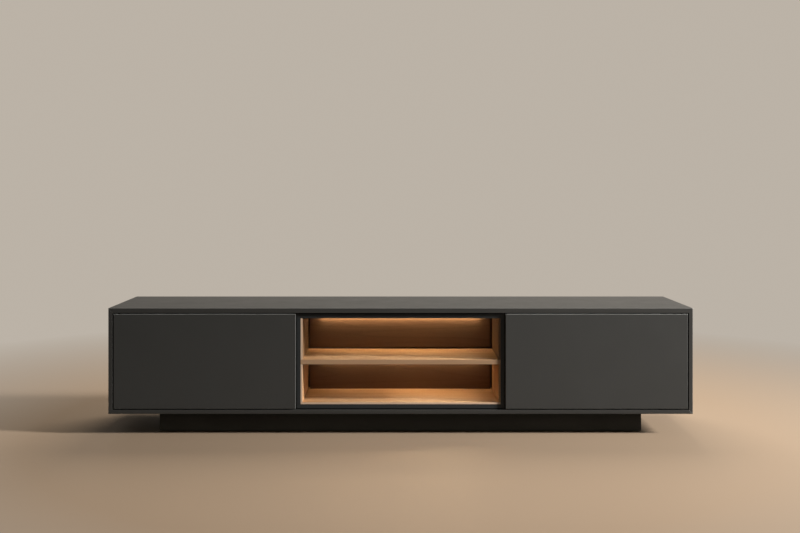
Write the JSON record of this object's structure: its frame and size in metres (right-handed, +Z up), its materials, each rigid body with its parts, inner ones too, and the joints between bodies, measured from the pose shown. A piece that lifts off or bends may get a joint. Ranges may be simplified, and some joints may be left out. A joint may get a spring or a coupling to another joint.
{
  "type": "tv cabinet",
  "caption": "Long low TV cabinet: mitred graphite frame, two handle-less doors, an oak-lined lit niche with a shelf, and a recessed plinth.",
  "frame": {"origin": "centre of the footprint on the floor", "axes": "+X to the right of someone facing the doors, the front faces -Y, +Z up"},
  "size_m": [2.2, 0.42, 0.478],
  "materials": {
    "graphite_lacquer": "matt graphite lacquer",
    "niche_lacquer": "matt black lacquer",
    "plinth_lacquer": "matt black lacquer",
    "oak": "oiled oak veneer",
    "smoked_oak": "smoked oak veneer",
    "dark_board": "dark melamine",
    "beech": "raw beech",
    "profile_aluminium": "anodised",
    "led_strip": "white circuit tape",
    "opal_diffuser": "opal, lit",
    "steel": "zinc plated",
    "black_steel": "black oxide",
    "plunger_plastic": "satin",
    "bush_plastic": "satin",
    "bumper_rubber": "soft",
    "black_plastic": "fine grain"
  },
  "bodies": {
    "carcass": {"top_panel": "graphite_lacquer", "bottom_panel": "graphite_lacquer", "left_side_panel": "graphite_lacquer", "right_side_panel": "graphite_lacquer", "left_partition": "graphite_lacquer", "right_partition": "graphite_lacquer", "left_back_board": "dark_board", "centre_back_board": "dark_board", "right_back_board": "dark_board", "back_screws": "steel", "partition_dowels": "beech", "niche_top_board": "niche_lacquer", "niche_bottom_board": "niche_lacquer", "niche_left_board": "niche_lacquer", "niche_right_board": "niche_lacquer", "niche_screws": "steel", "oak_floor": "oak", "oak_lining_left_lower": "oak", "oak_lining_left_upper": "oak", "oak_lining_right_lower": "oak", "oak_lining_right_upper": "oak", "oak_shelf": "oak", "niche_back_lower": "smoked_oak", "niche_back_upper": "smoked_oak", "back_battens": "dark_board", "led_profile_top": "profile_aluminium", "led_profile_shelf": "profile_aluminium", "led_strip_top": "led_strip", "led_strip_shelf": "led_strip", "led_diffuser_top": "opal_diffuser", "led_diffuser_shelf": "opal_diffuser", "led_end_caps": "black_plastic", "led_driver": "black_plastic", "led_leads": "black_plastic", "cable_grommets": "black_plastic", "left_cupboard_shelf": "dark_board", "right_cupboard_shelf": "dark_board", "shelf_pins": "steel", "left_pivot_pins": "black_steel", "right_pivot_pins": "black_steel", "left_latch_housing": "black_plastic", "right_latch_housing": "black_plastic", "door_bumpers": "bumper_rubber", "plinth_front": "plinth_lacquer", "plinth_back": "plinth_lacquer", "plinth_left": "plinth_lacquer", "plinth_right": "plinth_lacquer", "plinth_braces": "plinth_lacquer", "plinth_blocks": "beech", "plinth_screws": "steel", "floor_glides": "black_plastic"},
    "left_door": {"left_door_panel": "graphite_lacquer", "left_door_bushes": "bush_plastic", "left_strike_plate": "steel"},
    "right_door": {"right_door_panel": "graphite_lacquer", "right_door_bushes": "bush_plastic", "right_strike_plate": "steel"},
    "left_plunger": {"left_latch_plunger": "plunger_plastic"},
    "right_plunger": {"right_latch_plunger": "plunger_plastic"}
  },
  "joints": [
    {"name": "left_door_hinge", "type": "hinge", "parent": "carcass", "child": "left_door", "pos_m": [-1.061, -0.201, 0.279], "axis": [0, 0, -1], "range_deg": [0, 105]},
    {"name": "right_door_hinge", "type": "hinge", "parent": "carcass", "child": "right_door", "pos_m": [1.061, -0.201, 0.279], "axis": [0, 0, 1], "range_deg": [0, 105]},
    {"name": "left_latch_press", "type": "slide", "parent": "carcass", "child": "left_plunger", "axis": [0, 1, 0], "range_m": [0, 0.003], "stiffness_N_per_m": 400, "springref_m": -0.01},
    {"name": "right_latch_press", "type": "slide", "parent": "carcass", "child": "right_plunger", "axis": [0, 1, 0], "range_m": [0, 0.003], "stiffness_N_per_m": 400, "springref_m": -0.01}
  ]
}
